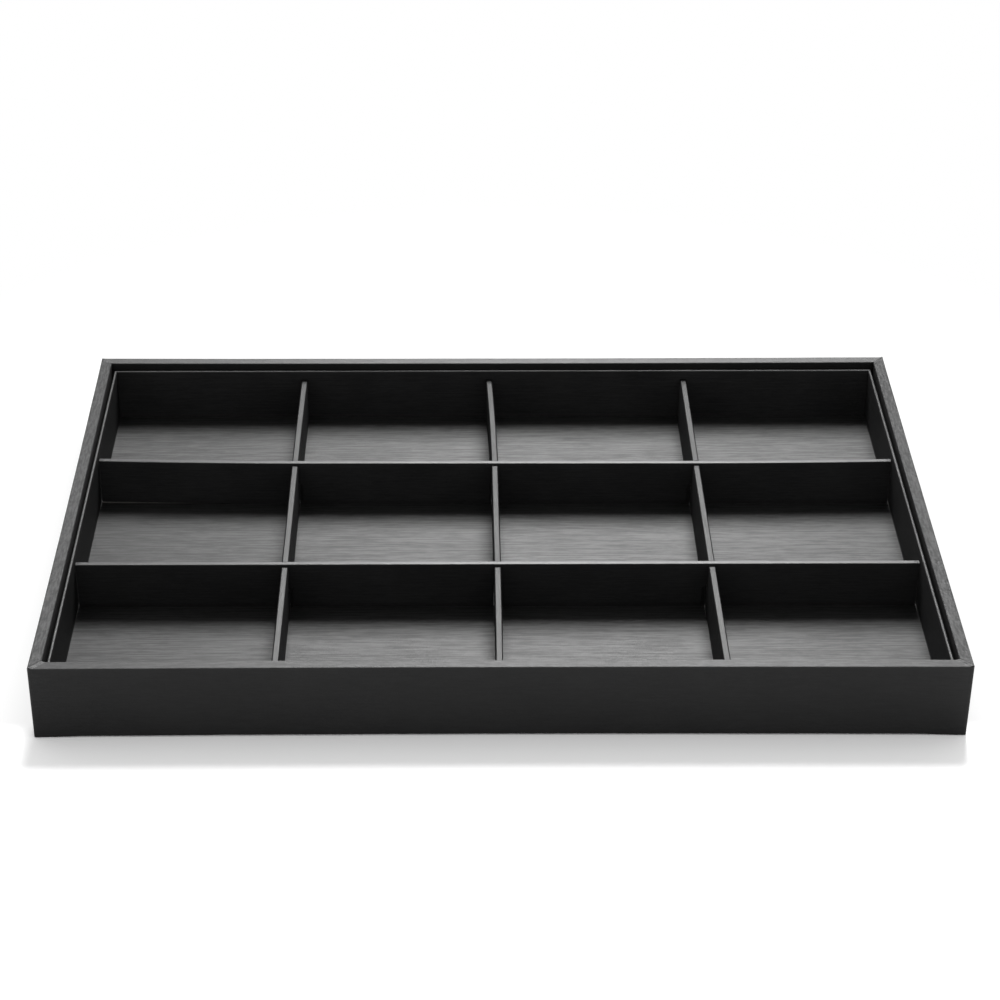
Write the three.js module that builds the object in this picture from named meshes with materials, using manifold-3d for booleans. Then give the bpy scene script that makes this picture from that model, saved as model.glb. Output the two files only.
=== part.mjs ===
// A jewellery display tray: a leatherette-wrapped casing, a liner that drops into it and a lattice
// of slotted dividers that drops into the liner and makes its twelve compartments.
// Millimetres, +Z up. X is the tray's length and Y its depth, with the front at -Y. The origin is
// the centre of the rectangle that the tray stands on.
import * as THREE from 'three';
import { mergeVertices } from 'three/addons/utils/BufferGeometryUtils.js';
import Module from 'manifold-3d';

const wasm = await Module();
wasm.setup();

// The whole tray
const trayLength = 350;
const trayDepth = 240;
const trayHeight = 31.5;
const columns = 4;
const rows = 3;

// Casing: four mitred rails round a base board, each rail wrapped in its own strip of leatherette
const railThickness = 3.9;
const coverThickness = 0.5;
const edgeRadius = 0.7; // outside radius of the wrap over a rail's long edges
const cornerRadius = 1; // upright corners, seen from above
const mitreSetback = 0.15; // how far each mitred end stays back from the corner's diagonal
const foldThickness = 0.5; // second layer where a strip is folded double under a corner
const foldFlat = 8; // length of a fold at full thickness
const foldLength = 18; // length of a fold to where it has thinned away
const baseThickness = 3;
const baseClearance = 0.2;
const liningThickness = 0.3;
const liningInset = 3;

// Liner: four thin walls on a floor board, with leatherette over the walls and on the floor
const linerClearance = 1.1; // all round, between the liner and the casing
const linerBoardThickness = 0.6;
const linerCoverThickness = 0.3;
const linerDrop = 3; // from the rim down to the liner's edge
const linerHem = 12; // how far the wall covering turns down outside
const linerFloorThickness = 1.3;
const floorCoveringThickness = 0.5;
const floorCoveringClearance = 0.2;

// Dividers: boards with a strip of leatherette over the top edge, slotted into each other
const dividerBoardThickness = 1.6;
const dividerCoverThickness = 0.4;
const dividerEdgeRadius = 0.8;
const dividerEndClearance = 0.4;
const longDividerDrop = 6; // from the rim down to the long dividers' top edge
const crossDividerDrop = 7; // the cross dividers stand a little lower
const rowPitch = 78; // between the middles of two long dividers
const slotClearance = 0.3; // each side of a divider in its slot
const lapClearance = 0.4; // between the bottoms of two slots that meet

// How finely arcs are faceted, and how far a cutter runs past what it cuts
const arcSegments = 5;
const overrun = 1;

// Widths and levels that follow from the values above
const rimWidth = railThickness + 2 * coverThickness;
const undersideLevel = foldThickness;
const railBottom = undersideLevel + coverThickness;
const baseTop = undersideLevel + baseThickness;
const linerLength = trayLength - 2 * (rimWidth + linerClearance);
const linerDepth = trayDepth - 2 * (rimWidth + linerClearance);
const linerWallThickness = linerBoardThickness + 2 * linerCoverThickness;
const linerWallFoot = baseTop + linerFloorThickness;
const linerTop = trayHeight - linerDrop;
const floorLevel = linerWallFoot + floorCoveringThickness;
const insideLength = linerLength - 2 * linerWallThickness;
const insideDepth = linerDepth - 2 * linerWallThickness;
const dividerThickness = dividerBoardThickness + 2 * dividerCoverThickness;
const longDividerTop = trayHeight - longDividerDrop;
const crossDividerTop = trayHeight - crossDividerDrop;
const lapLevel = (floorLevel + crossDividerTop) / 2;
const compartmentLength = (insideLength - (columns - 1) * dividerThickness) / columns;
const columnPitch = compartmentLength + dividerThickness;

// Finishes
const leatherette = new THREE.MeshStandardMaterial({ color: 0x202022, roughness: 0.45, metalness: 0 });
const brushedLeatherette = new THREE.MeshStandardMaterial({ color: 0x2b2b2d, roughness: 0.4, metalness: 0 });
const fibreboard = new THREE.MeshStandardMaterial({ color: 0x9a7b58, roughness: 0.85, metalness: 0 });
const greyboard = new THREE.MeshStandardMaterial({ color: 0x8b8780, roughness: 0.9, metalness: 0 });
const liningPaper = new THREE.MeshStandardMaterial({ color: 0x18181a, roughness: 0.95, metalness: 0 });

// Between a geometry and a solid that can be cut
function solidOf(geometry) {
  const bare = geometry.clone();
  bare.deleteAttribute('normal');
  bare.deleteAttribute('uv');
  const merged = mergeVertices(bare);
  const vertProperties = merged.attributes.position.array;
  const triVerts = new Uint32Array(merged.index.array);
  return new wasm.Manifold(new wasm.Mesh({ numProp: 3, vertProperties, triVerts }));
}

function geometryOf(solid) {
  const mesh = solid.getMesh();
  const geometry = new THREE.BufferGeometry();
  geometry.setAttribute('position', new THREE.BufferAttribute(mesh.vertProperties, 3));
  geometry.setIndex(new THREE.BufferAttribute(mesh.triVerts, 1));
  const faceted = geometry.toNonIndexed();
  faceted.computeVertexNormals();
  return faceted;
}

// A quarter turn of an outline round one of its corners, from one compass angle to the next
const quarter = Math.PI / 2;
const east = 0;
const north = quarter;
const west = 2 * quarter;
const south = 3 * quarter;

// Flat outlines seen from above, centred on the origin
function roundedRectangle(length, depth, radius) {
  const shape = new THREE.Shape();
  const x = length / 2 - radius;
  const y = depth / 2 - radius;
  shape.absarc(x, y, radius, east, north, false);
  shape.absarc(-x, y, radius, north, west, false);
  shape.absarc(-x, -y, radius, west, south, false);
  shape.absarc(x, -y, radius, south, 4 * quarter, false);
  shape.closePath();
  return shape;
}

function clippedRectangle(length, depth, clip) {
  const x = length / 2;
  const y = depth / 2;
  const corners = [
    [x, y - clip], [x - clip, y], [clip - x, y], [-x, y - clip],
    [-x, clip - y], [clip - x, -y], [x - clip, -y], [x, clip - y],
  ];
  return new THREE.Shape(corners.map(([cornerX, cornerY]) => new THREE.Vector2(cornerX, cornerY)));
}

// A level sheet of the given outline
function sheet(outline, bottom, thickness) {
  const options = { depth: thickness, bevelEnabled: false, curveSegments: arcSegments };
  return new THREE.ExtrudeGeometry(outline, options).translate(0, 0, bottom);
}

// Sections of a side. Their x runs inwards from the side's outer face and their y is the height.
const innerEdgeRadius = edgeRadius - coverThickness;
const lowerArc = { x: edgeRadius, y: undersideLevel + edgeRadius };
const outerArc = { x: edgeRadius, y: trayHeight - edgeRadius };
const innerArc = { x: rimWidth - edgeRadius, y: trayHeight - edgeRadius };

function railSection() {
  const shape = new THREE.Shape();
  shape.absarc(lowerArc.x, lowerArc.y, innerEdgeRadius, south, west, true);
  shape.absarc(outerArc.x, outerArc.y, innerEdgeRadius, west, north, true);
  shape.absarc(innerArc.x, innerArc.y, innerEdgeRadius, north, east, true);
  shape.lineTo(rimWidth - coverThickness, railBottom);
  shape.closePath();
  return shape;
}

// The strip starts under the rail, goes up the outside, over the rim and down inside to the base
function railCoverSection() {
  const shape = new THREE.Shape();
  shape.absarc(lowerArc.x, lowerArc.y, edgeRadius, south, west, true);
  shape.absarc(outerArc.x, outerArc.y, edgeRadius, west, north, true);
  shape.absarc(innerArc.x, innerArc.y, edgeRadius, north, east, true);
  shape.lineTo(rimWidth, baseTop);
  shape.lineTo(rimWidth - coverThickness, baseTop);
  shape.absarc(innerArc.x, innerArc.y, innerEdgeRadius, east, north, false);
  shape.absarc(outerArc.x, outerArc.y, innerEdgeRadius, north, west, false);
  shape.absarc(lowerArc.x, lowerArc.y, innerEdgeRadius, west, south, false);
  shape.lineTo(rimWidth - coverThickness, railBottom);
  shape.lineTo(rimWidth - coverThickness, undersideLevel);
  shape.closePath();
  return shape;
}

const linerEdgeRadius = linerWallThickness / 2;
const linerArc = { x: linerEdgeRadius, y: linerTop - linerEdgeRadius };

function linerBoardSection() {
  const shape = new THREE.Shape();
  shape.absarc(linerArc.x, linerArc.y, linerBoardThickness / 2, west, east, true);
  shape.lineTo(linerWallThickness - linerCoverThickness, linerWallFoot);
  shape.lineTo(linerCoverThickness, linerWallFoot);
  shape.closePath();
  return shape;
}

// The strip covers the inside of the wall, goes over its edge and turns down outside as a hem
function linerCoverSection() {
  const hemBottom = linerTop - linerHem;
  const shape = new THREE.Shape();
  shape.absarc(linerArc.x, linerArc.y, linerEdgeRadius, west, east, true);
  shape.lineTo(linerWallThickness, linerWallFoot);
  shape.lineTo(linerWallThickness - linerCoverThickness, linerWallFoot);
  shape.absarc(linerArc.x, linerArc.y, linerBoardThickness / 2, east, west, false);
  shape.lineTo(linerCoverThickness, hemBottom);
  shape.lineTo(0, hemBottom);
  shape.closePath();
  return shape;
}

// A place along a side, as a distance from the side's end, and how far the underside hangs there
function endOfSide(hang) {
  return { fromEnd: (inset) => mitreSetback + inset, hang };
}

function onSide(distance, hang) {
  return { fromEnd: () => distance, hang };
}

const plainEnd = [endOfSide(0)];
const foldedEnd = [endOfSide(foldThickness), onSide(foldFlat, foldThickness), onSide(foldLength, 0)];

// True on the outer surface of the wrap under a rail, which hangs lower where it is folded double
function isUnderRail(inset, height) {
  const fromArc = Math.hypot(inset - lowerArc.x, height - lowerArc.y);
  const depthInWrap = inset < lowerArc.x ? edgeRadius - fromArc : height - undersideLevel;
  return height < railBottom + edgeRadius && depthInWrap < coverThickness / 2;
}

// Runs a section along one side of a frame, mitred at both ends. The result's x runs along the side,
// its y inwards from the side's outer face and its z up.
function alongSide(section, length, endPlaces) {
  const places = [
    ...endPlaces.map((place) => ({ ...place, end: -1 })),
    ...endPlaces.map((place) => ({ ...place, end: 1 })).reverse(),
  ];
  const spans = places.length - 1;
  const options = { depth: spans, steps: spans, bevelEnabled: false, curveSegments: arcSegments };
  const geometry = new THREE.ExtrudeGeometry(section, options);
  const position = geometry.attributes.position;
  for (let i = 0; i < position.count; i += 1) {
    const inset = position.getX(i);
    const height = position.getY(i);
    const place = places[Math.round(position.getZ(i))];
    const hang = isUnderRail(inset, height) ? place.hang : 0;
    position.setXYZ(i, place.end * (length / 2 - place.fromEnd(inset)), inset, height - hang);
  }
  return geometry;
}

// Rounds the two upright outer corners at the ends of a wrapped side
function roundCorners(geometry, length, depth) {
  const outline = roundedRectangle(length, depth, cornerRadius);
  const prism = sheet(outline, -overrun, trayHeight + 2 * overrun).translate(0, depth / 2, 0);
  return geometryOf(solidOf(geometry).intersect(solidOf(prism)));
}

// Sections of a divider. Their x is centred on its thickness and their y is the height.
function dividerBoardSection(top) {
  const half = dividerBoardThickness / 2;
  const radius = dividerEdgeRadius - dividerCoverThickness;
  const arcX = half - radius;
  const arcY = top - dividerCoverThickness - radius;
  const shape = new THREE.Shape();
  shape.absarc(-arcX, arcY, radius, west, north, true);
  shape.absarc(arcX, arcY, radius, north, east, true);
  shape.lineTo(half, floorLevel);
  shape.lineTo(-half, floorLevel);
  shape.closePath();
  return shape;
}

function dividerCoverSection(top) {
  const half = dividerThickness / 2;
  const boardHalf = dividerBoardThickness / 2;
  const boardRadius = dividerEdgeRadius - dividerCoverThickness;
  const arcX = half - dividerEdgeRadius;
  const arcY = top - dividerEdgeRadius;
  const shape = new THREE.Shape();
  shape.absarc(-arcX, arcY, dividerEdgeRadius, west, north, true);
  shape.absarc(arcX, arcY, dividerEdgeRadius, north, east, true);
  shape.lineTo(half, floorLevel);
  shape.lineTo(boardHalf, floorLevel);
  shape.absarc(arcX, arcY, boardRadius, east, north, false);
  shape.absarc(-arcX, arcY, boardRadius, north, west, false);
  shape.lineTo(-boardHalf, floorLevel);
  shape.lineTo(-half, floorLevel);
  shape.closePath();
  return shape;
}

// Runs a divider's section along x and cuts a slot at each place, between two levels
function slottedDivider(section, length, slotPlaces, slotBottom, slotTop) {
  const options = { depth: length, bevelEnabled: false, curveSegments: arcSegments };
  const geometry = new THREE.ExtrudeGeometry(section, options);
  geometry.rotateX(quarter).rotateZ(quarter).translate(-length / 2, 0, 0);
  let divider = solidOf(geometry);
  const slotWidth = dividerThickness + 2 * slotClearance;
  const slotHeight = slotTop - slotBottom;
  for (const place of slotPlaces) {
    const slot = new THREE.BoxGeometry(slotWidth, dividerThickness + 2 * overrun, slotHeight);
    slot.translate(place, 0, slotBottom + slotHeight / 2);
    divider = divider.subtract(solidOf(slot));
  }
  return geometryOf(divider);
}

// Middles of a row of dividers that share a space
function spread(count, pitch) {
  return Array.from({ length: count }, (unused, i) => (i - (count - 1) / 2) * pitch);
}

function addPiece(group, name, geometry, material) {
  const mesh = new THREE.Mesh(geometry, material);
  mesh.name = name;
  group.add(mesh);
  return mesh;
}

// The four sides of a frame, each a group turned so that its pieces run along its own x
const sides = [
  { name: 'front', turn: 0 },
  { name: 'right', turn: 1 },
  { name: 'back', turn: 2 },
  { name: 'left', turn: 3 },
];

function addSides(group, length, depth, addPieces) {
  for (const { name, turn } of sides) {
    const acrossTray = turn % 2 === 1;
    const sideLength = acrossTray ? depth : length;
    const sideDepth = acrossTray ? length : depth;
    const turned = new THREE.Group();
    turned.rotation.z = turn * quarter;
    const side = new THREE.Group();
    side.position.y = -sideDepth / 2;
    addPieces(side, name, sideLength, sideDepth);
    turned.add(side);
    group.add(turned);
  }
}

function buildCasing() {
  const casing = new THREE.Group();
  addSides(casing, trayLength, trayDepth, (side, name, length, depth) => {
    addPiece(side, `${name}_rail`, alongSide(railSection(), length, plainEnd), fibreboard);
    const cover = roundCorners(alongSide(railCoverSection(), length, foldedEnd), length, depth);
    addPiece(side, `${name}_rail_cover`, cover, leatherette);
  });

  const baseInset = rimWidth - coverThickness + baseClearance;
  const base = roundedRectangle(trayLength - 2 * baseInset, trayDepth - 2 * baseInset, cornerRadius);
  addPiece(casing, 'base_board', sheet(base, undersideLevel, baseThickness), fibreboard);

  // The lining hides the base board's edge, and its corners are clipped to clear the folds
  const lining = clippedRectangle(
    trayLength - 2 * liningInset,
    trayDepth - 2 * liningInset,
    foldLength,
  );
  const liningBottom = undersideLevel - liningThickness;
  addPiece(casing, 'underside_lining', sheet(lining, liningBottom, liningThickness), liningPaper);
  return casing;
}

function buildLiner() {
  const liner = new THREE.Group();
  const floor = roundedRectangle(linerLength, linerDepth, linerEdgeRadius);
  addPiece(liner, 'liner_floor_board', sheet(floor, baseTop, linerFloorThickness), greyboard);

  const covering = roundedRectangle(
    insideLength - 2 * floorCoveringClearance,
    insideDepth - 2 * floorCoveringClearance,
    floorCoveringThickness,
  );
  const coveringSheet = sheet(covering, linerWallFoot, floorCoveringThickness);
  addPiece(liner, 'floor_covering', coveringSheet, brushedLeatherette);

  addSides(liner, linerLength, linerDepth, (side, name, length) => {
    const board = alongSide(linerBoardSection(), length, plainEnd);
    addPiece(side, `${name}_liner_board`, board, greyboard);
    const cover = alongSide(linerCoverSection(), length, plainEnd);
    addPiece(side, `${name}_liner_cover`, cover, brushedLeatherette);
  });
  return liner;
}

const longDividerPlaces = spread(rows - 1, rowPitch);
const crossDividerPlaces = spread(columns - 1, columnPitch);

// A cross divider runs from front to back and is slotted from its top edge
function addCrossDividers(lattice) {
  const length = insideDepth - 2 * dividerEndClearance;
  const slotBottom = lapLevel - lapClearance / 2;
  const slotTop = crossDividerTop + overrun;
  const names = ['left', 'centre', 'right'];
  crossDividerPlaces.forEach((x, i) => {
    const divider = new THREE.Group();
    divider.position.x = x;
    divider.rotation.z = quarter;
    const cut = (section) => slottedDivider(section, length, longDividerPlaces, slotBottom, slotTop);
    const name = `${names[i] ?? i}_cross_divider`;
    addPiece(divider, `${name}_board`, cut(dividerBoardSection(crossDividerTop)), greyboard);
    addPiece(divider, `${name}_cover`, cut(dividerCoverSection(crossDividerTop)), brushedLeatherette);
    lattice.add(divider);
  });
}

// A long divider runs from left to right and is slotted from below, so it sits over the cross dividers
function addLongDividers(lattice) {
  const length = insideLength - 2 * dividerEndClearance;
  const slotBottom = floorLevel - overrun;
  const slotTop = lapLevel + lapClearance / 2;
  const names = ['front', 'back'];
  longDividerPlaces.forEach((y, i) => {
    const divider = new THREE.Group();
    divider.position.y = y;
    const cut = (section) => slottedDivider(section, length, crossDividerPlaces, slotBottom, slotTop);
    const name = `${names[i] ?? i}_long_divider`;
    addPiece(divider, `${name}_board`, cut(dividerBoardSection(longDividerTop)), greyboard);
    addPiece(divider, `${name}_cover`, cut(dividerCoverSection(longDividerTop)), brushedLeatherette);
    lattice.add(divider);
  });
}

const tray = new THREE.Group();
const lattice = new THREE.Group();
addCrossDividers(lattice);
addLongDividers(lattice);
tray.add(buildCasing(), buildLiner(), lattice);

export default tray;
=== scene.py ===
"""A black leatherette jewellery display tray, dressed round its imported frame."""
import math

import bmesh
import bpy
from mathutils import Matrix, Vector


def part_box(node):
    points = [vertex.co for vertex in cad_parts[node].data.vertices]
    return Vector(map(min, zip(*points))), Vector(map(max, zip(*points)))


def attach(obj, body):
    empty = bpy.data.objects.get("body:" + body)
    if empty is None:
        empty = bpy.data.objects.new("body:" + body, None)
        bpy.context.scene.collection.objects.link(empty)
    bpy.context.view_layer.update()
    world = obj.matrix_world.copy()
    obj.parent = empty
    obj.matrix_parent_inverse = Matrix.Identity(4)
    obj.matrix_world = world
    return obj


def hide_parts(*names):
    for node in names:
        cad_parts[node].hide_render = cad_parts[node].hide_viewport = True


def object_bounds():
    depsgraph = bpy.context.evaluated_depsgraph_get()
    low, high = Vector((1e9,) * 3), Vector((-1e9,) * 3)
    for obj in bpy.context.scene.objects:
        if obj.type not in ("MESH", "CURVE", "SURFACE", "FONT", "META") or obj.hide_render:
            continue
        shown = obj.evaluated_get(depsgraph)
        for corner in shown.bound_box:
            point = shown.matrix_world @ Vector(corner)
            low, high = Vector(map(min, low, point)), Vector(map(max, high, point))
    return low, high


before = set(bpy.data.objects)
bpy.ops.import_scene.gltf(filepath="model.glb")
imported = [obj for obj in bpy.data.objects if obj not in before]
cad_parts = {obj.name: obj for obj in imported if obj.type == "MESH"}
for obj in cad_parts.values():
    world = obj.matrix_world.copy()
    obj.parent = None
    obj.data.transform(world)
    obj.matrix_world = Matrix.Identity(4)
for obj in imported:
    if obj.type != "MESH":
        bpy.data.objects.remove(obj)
cad_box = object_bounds()
mm = 0.001

# The camera stands in front of the tray and a little to its left, above it, with a long lens. Its
# place, turn and shift were fitted to the straight edges of the tray in the photograph.
camera_place = Vector((-16.433, -888.068, 577.699)) * mm
camera_aim = Vector((-10.625, 24.889, 1.5)) * mm
camera_roll = math.radians(0.0674)
camera_lens_mm = 91.866
camera_sensor_mm = 36
camera_shift_right = 0.0299
camera_shift_up = 0.0274

camera_data = bpy.data.cameras.new("camera")
camera_data.lens = camera_lens_mm
camera_data.sensor_width = camera_sensor_mm
camera_data.shift_x = camera_shift_right
camera_data.shift_y = camera_shift_up
camera_data.clip_start = 0.05
camera_data.clip_end = 50
camera = bpy.data.objects.new("camera", camera_data)
bpy.context.scene.collection.objects.link(camera)
look = (camera_aim - camera_place).to_track_quat("-Z", "Y").to_matrix().to_4x4()
camera.matrix_world = Matrix.Translation(camera_place) @ look @ Matrix.Rotation(camera_roll, 4, "Z")
bpy.context.scene.camera = camera


# The rails are strips of raw fibreboard, sawn and mitred at both ends and glued into a frame. They
# have warped with the pull of their covering, so each side bows in a little at its middle.
class Wire:
    """A socket that adds and multiplies like a number: each sum or product adds its Math node."""

    def __init__(self, tree, socket):
        self.tree = tree
        self.socket = socket

    def add(self, kind, settings=None, inputs=None, output=None):
        """Adds any other node: its settings first, then the values or wires of its inputs."""
        node = self.tree.nodes.new(kind)
        for name, value in (settings or {}).items():
            setattr(node, name, value)
        open_inputs = [socket for socket in node.inputs if socket.enabled]
        named = inputs.items() if isinstance(inputs, dict) else enumerate(inputs or ())
        for name, value in named:
            if isinstance(name, int):
                socket = open_inputs[name]
            else:
                socket = next(socket for socket in open_inputs if socket.name == name)
            wires = value if isinstance(value, list) else [value]
            if isinstance(wires[0], Wire):
                for wire in wires:
                    self.tree.links.new(wire.socket, socket)
            else:
                socket.default_value = value
        shown = [socket for socket in node.outputs if socket.enabled]
        if output is not None:
            shown = [socket for socket in shown if socket.name == output]
        return Wire(self.tree, shown[0])

    def math(self, operation, *values):
        return self.add("ShaderNodeMath", {"operation": operation}, values)

    def __add__(self, other):
        return self.math("ADD", self, other)

    def __radd__(self, other):
        return self.math("ADD", other, self)

    def __sub__(self, other):
        return self.math("SUBTRACT", self, other)

    def __rsub__(self, other):
        return self.math("SUBTRACT", other, self)

    def __mul__(self, other):
        return self.math("MULTIPLY", self, other)

    def __rmul__(self, other):
        return self.math("MULTIPLY", other, self)

    def __truediv__(self, other):
        return self.math("DIVIDE", self, other)

    def __rtruediv__(self, other):
        return self.math("DIVIDE", other, self)

    def __pow__(self, other):
        return self.math("POWER", self, other)

    def size(self):
        return self.math("ABSOLUTE", self)

    def sign(self):
        return self.math("SIGN", self)

    def least(self, other):
        return self.math("MINIMUM", self, other)

    def most(self, other):
        return self.math("MAXIMUM", self, other)

    def eased(self, start, end):
        """0 before start and 1 after end, with a soft step between them."""
        settings = {"interpolation_type": "SMOOTHSTEP"}
        inputs = {"Value": self, "From Min": start, "From Max": end}
        return self.add("ShaderNodeMapRange", settings, inputs)

    def scaled(self, x, y, z):
        """A vector with each of its parts multiplied."""
        return self.add("ShaderNodeVectorMath", {"operation": "MULTIPLY"}, [self, (x, y, z)])

    def parts(self):
        """The x, y and z of a vector."""
        node = self.add("ShaderNodeSeparateXYZ", None, [self]).socket.node
        return [Wire(self.tree, socket) for socket in node.outputs]

    def vector(self, x, y, z):
        return self.add("ShaderNodeCombineXYZ", None, [x, y, z])

    def noise(self, place, scale, detail=2.0, roughness=0.5):
        """Soft noise between 0 and 1."""
        inputs = {"Vector": place, "Scale": scale, "Detail": detail, "Roughness": roughness}
        return self.add("ShaderNodeTexNoise", None, inputs, output="Fac")

    def mixed(self, first, second):
        """One colour where this wire is 0, another where it is 1."""
        settings = {"data_type": "RGBA"}
        return self.add("ShaderNodeMix", settings, {"Factor": self, "A": first, "B": second})


def new_material(name, constants):
    """A material with its shader's fixed values set on its own sockets, and a wire to start from."""
    material = bpy.data.materials.new(name)
    material.use_nodes = True
    tree = material.node_tree
    shader = tree.nodes["Principled BSDF"]
    for socket, value in constants.items():
        shader.inputs[socket].default_value = value
    return material, shader, Wire(tree, None)


def finish_material(shader, start, colour, roughness, height, relief):
    """Joins the colour, the roughness and a relief of the given depth to the shader."""
    inputs = {"Strength": 1.0, "Distance": relief, "Filter Width": 0.02, "Height": height}
    normal = start.add("ShaderNodeBump", None, inputs)
    for name, wire in (("Base Color", colour), ("Roughness", roughness), ("Normal", normal)):
        start.tree.links.new(wire.socket, shader.inputs[name])


def board_material(name, light, dark, fibre_length, fibre_width, roughness, relief):
    """Raw board: pressed fibres that lie every way, with some darker ones among them."""
    material, shader, start = new_material(name, {"Specular IOR Level": 0.3})
    place = start.add("ShaderNodeTexCoord", output="Object")
    flat_fibres = start.noise(place.scaled(1 / fibre_length, 1 / fibre_width, 1 / fibre_width), 1, 3)
    cross_fibres = start.noise(place.scaled(1 / fibre_width, 1 / fibre_length, 1 / fibre_width), 1, 3)
    specks = start.noise(place, 1 / fibre_width, 4, 0.7).eased(0.55, 0.75)
    fibres = (flat_fibres + cross_fibres) * 0.5
    shade = (fibres.eased(0.3, 0.7) + specks * 0.5) / 1.5
    colour = shade.mixed((*light, 1), (*dark, 1))
    finish_material(shader, start, colour, roughness + fibres * 0.12, fibres + specks * 0.3, relief)
    return material


fibreboard = board_material(
    "fibreboard",
    light=(0.42, 0.31, 0.20),
    dark=(0.25, 0.17, 0.10),
    fibre_length=2.4 * mm,
    fibre_width=0.35 * mm,
    roughness=0.78,
    relief=0.06 * mm,
)


def drawn_run(corners, arc_steps, longest):
    """The points of a run of straight stretches that meet square, with each corner rounded."""
    stops = []
    for i, (x, y, radius) in enumerate(corners):
        corner = Vector((x, y))
        if radius == 0:
            stops.append(corner)
            continue
        back = (Vector(corners[i - 1][:2]) - corner).normalized()
        onward = (Vector(corners[i + 1][:2]) - corner).normalized()
        centre = corner + (back + onward) * radius
        for step in range(arc_steps + 1):
            turn = math.radians(90) * step / arc_steps
            stops.append(centre - onward * radius * math.cos(turn) - back * radius * math.sin(turn))
    points = [stops[0]]
    for stop in stops[1:]:
        gap = (stop - points[-1]).length
        if gap < 1e-7:
            continue
        pieces = max(1, math.ceil(gap / longest))
        start = points[-1]
        points += [start.lerp(stop, piece / pieces) for piece in range(1, pieces + 1)]
    return points


def section_object(name, outer_run, inner_run):
    """A closed section as a loop of edges. skin is 1 on its outer side and 0 on the board's side."""
    points = outer_run + inner_run
    mesh = bpy.data.meshes.new(name)
    edges = [(i, (i + 1) % len(points)) for i in range(len(points))]
    mesh.from_pydata([(point.x, point.y, 0) for point in points], edges, [])
    skin = mesh.attributes.new("skin", "FLOAT", "POINT")
    around = mesh.attributes.new("around", "FLOAT", "POINT")
    travelled = 0.0
    for i, point in enumerate(points):
        skin.data[i].value = 1.0 if i < len(outer_run) else 0.0
        around.data[i].value = travelled
        travelled += (points[(i + 1) % len(points)] - point).length
    section = bpy.data.objects.new(name, mesh)
    bpy.context.scene.collection.objects.link(section)
    return section


def new_tree(name, sizes, counts=()):
    """A geometry tree with one named input for each size, and a wire to each of its inputs."""
    tree = bpy.data.node_groups.new(name, "GeometryNodeTree")
    tree.interface.new_socket("Section", in_out="INPUT", socket_type="NodeSocketGeometry")
    for label in sizes:
        tree.interface.new_socket(label, in_out="INPUT", socket_type="NodeSocketFloat")
    for label in counts:
        tree.interface.new_socket(label, in_out="INPUT", socket_type="NodeSocketInt")
    tree.interface.new_socket("Material", in_out="INPUT", socket_type="NodeSocketMaterial")
    tree.interface.new_socket("Mesh", in_out="OUTPUT", socket_type="NodeSocketGeometry")
    entry = tree.nodes.new("NodeGroupInput")
    return tree, {socket.name: Wire(tree, socket) for socket in entry.outputs if socket.name}


def close_tree(tree, mesh, material):
    """Ends a tree in real faces with their material."""
    real = mesh.add("GeometryNodeRealizeInstances", None, {"Geometry": mesh})
    dressed = real.add("GeometryNodeSetMaterial", None, {"Geometry": real, "Material": material})
    leave = tree.nodes.new("NodeGroupOutput")
    tree.links.new(dressed.socket, leave.inputs["Mesh"])


sharp_fold = math.radians(40)


def made_mesh(name, source, tree, values, place):
    """Runs a tree on an object and gives the plain mesh, moved to its place and facing out."""
    modifier = source.modifiers.new(name, "NODES")
    modifier.node_group = tree
    for item in tree.interface.items_tree:
        if item.in_out == "INPUT" and item.name in values:
            modifier[item.identifier] = values[item.name]
    evaluated = source.evaluated_get(bpy.context.evaluated_depsgraph_get())
    mesh = bpy.data.meshes.new_from_object(evaluated)
    source.modifiers.remove(modifier)
    mesh.name = name
    mesh.transform(place)
    shell = bmesh.new()
    shell.from_mesh(mesh)
    bmesh.ops.remove_doubles(shell, verts=shell.verts, dist=1e-6)
    bmesh.ops.recalc_face_normals(shell, faces=shell.faces)
    shell.to_mesh(mesh)
    shell.free()
    mesh.polygons.foreach_set("use_smooth", [True] * len(mesh.polygons))
    mesh.set_sharp_from_angle(angle=sharp_fold)
    piece = bpy.data.objects.new(name, mesh)
    bpy.context.scene.collection.objects.link(piece)
    return piece


def follow_side(inputs):
    """Sweeps the section along a side: x runs along it, y inwards and z up. Its stations crowd towards
    the ends, where the corner needs them."""
    half = inputs["Length"] / 2
    start = half.vector(half, 0, 0)
    end = half.vector(0 - half, 0, 0)
    line = half.add("GeometryNodeCurvePrimitiveLine", None, {"Start": start, "End": end})
    run = half.add("GeometryNodeResampleCurve", None, {"Curve": line, "Count": inputs["Stations"]})
    x = half.add("GeometryNodeInputPosition").parts()[0]
    from_end = 1 - x.size() / half
    crowded = (1 - from_end ** inputs["Crowding"]) * half * x.sign()
    placed = {"Geometry": run, "Position": half.vector(crowded, 0, 0)}
    run = half.add("GeometryNodeSetPosition", None, placed)
    along = half.add("GeometryNodeInputPosition").parts()[0]
    stored = {"Geometry": run, "Name": "along", "Value": along}
    settings = {"data_type": "FLOAT", "domain": "POINT"}
    run = half.add("GeometryNodeStoreNamedAttribute", settings, stored)
    turned = {"Geometry": inputs["Section"], "Scale": (1, -1, 1)}
    section = half.add("GeometryNodeTransform", None, turned)
    section = half.add("GeometryNodeMeshToCurve", None, {"Mesh": section})
    swept = {"Curve": run, "Profile Curve": section, "Fill Caps": True}
    return half, half.add("GeometryNodeCurveToMesh", None, swept)


def named(wire, name):
    return wire.add("GeometryNodeInputNamedAttribute", {"data_type": "FLOAT"}, {"Name": name})


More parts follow.
